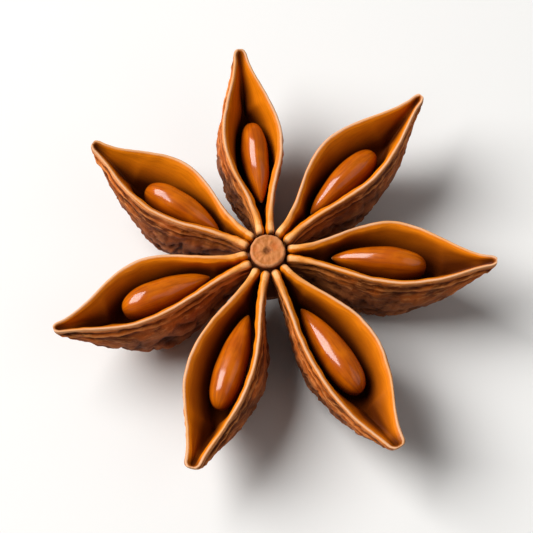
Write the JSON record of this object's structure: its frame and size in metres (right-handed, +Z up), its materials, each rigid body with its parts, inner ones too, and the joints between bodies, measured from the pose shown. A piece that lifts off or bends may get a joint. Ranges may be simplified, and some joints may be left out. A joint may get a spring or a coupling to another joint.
{
  "type": "star anise pod",
  "caption": "Dried star-shaped spice fruit: open boat-shaped carpels round a short column, a glossy seed lying in each.",
  "frame": {"origin": "under the middle of the whole fruit, on the surface that its keels rest on", "axes": "+Z up, towards the open mouths of the carpels; +Y towards the carpel that rises a little"},
  "size_m": [0.0374, 0.0374, 0.0099],
  "materials": {
    "husk": "dry, wrinkled, matt brown skin outside; smooth, glossy amber lining; pale cut edge",
    "seed": "hard, smooth, glossy chestnut seed coat"
  },
  "bodies": {
    "root": {"husk": "husk", "seed_1": "seed", "seed_2": "seed", "seed_3": "seed", "seed_4": "seed", "seed_5": "seed", "seed_6": "seed", "seed_7": "seed"}
  },
  "joints": []
}
